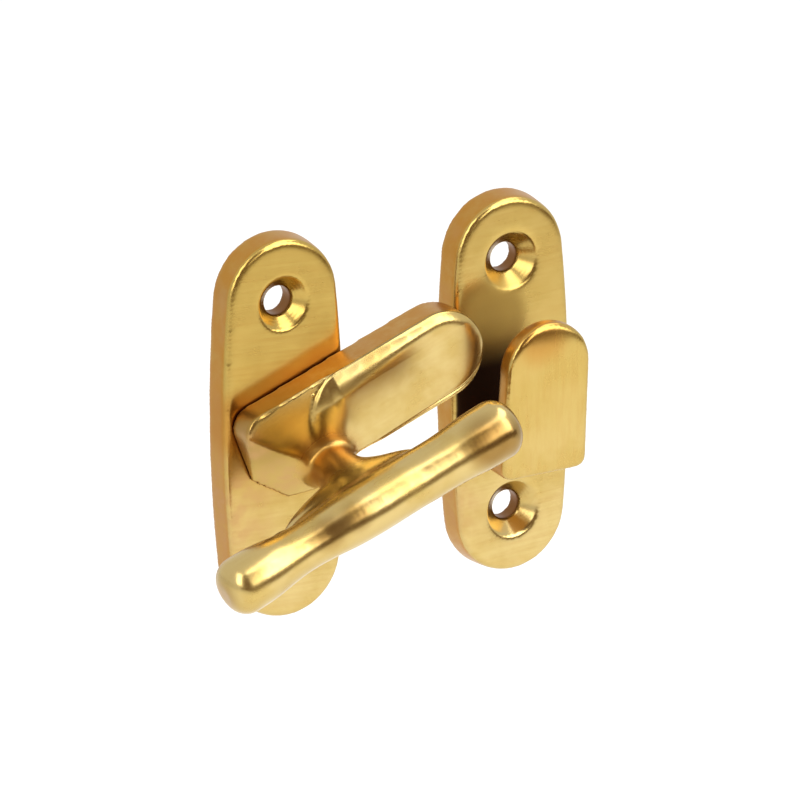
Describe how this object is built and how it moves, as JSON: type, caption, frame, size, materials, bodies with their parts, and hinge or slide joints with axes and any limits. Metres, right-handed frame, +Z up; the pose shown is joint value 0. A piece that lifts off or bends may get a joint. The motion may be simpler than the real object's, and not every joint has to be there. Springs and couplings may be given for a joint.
{
  "type": "cabinet catch",
  "caption": "Cast brass cabinet catch: latch plate with a turning arm and tee handle, and a hooked keeper plate that the arm drops into.",
  "frame": {"origin": "centre of the latch plate on its back face, on the pivot's axis and midway between its two screw holes", "axes": "+X along the wall from the latch plate to the keeper, -Y out of the wall, +Z up"},
  "size_m": [0.0756, 0.0312, 0.0634],
  "materials": {
    "cast_brass": "linished and polished casting",
    "turned_brass": "peened rivet, as headed",
    "spring_bronze": "rolled strip"
  },
  "bodies": {
    "plates": {"latch_plate": "cast_brass", "spring_washer": "spring_bronze", "keeper": "cast_brass"},
    "arm": {"latch_arm": "cast_brass", "pivot_rivet": "turned_brass"}
  },
  "joints": [
    {"name": "arm_pivot", "type": "hinge", "parent": "plates", "child": "arm", "pos_m": [0, 0, 0], "axis": [0, -1, 0], "range_deg": [-20.5, 69.5]}
  ]
}
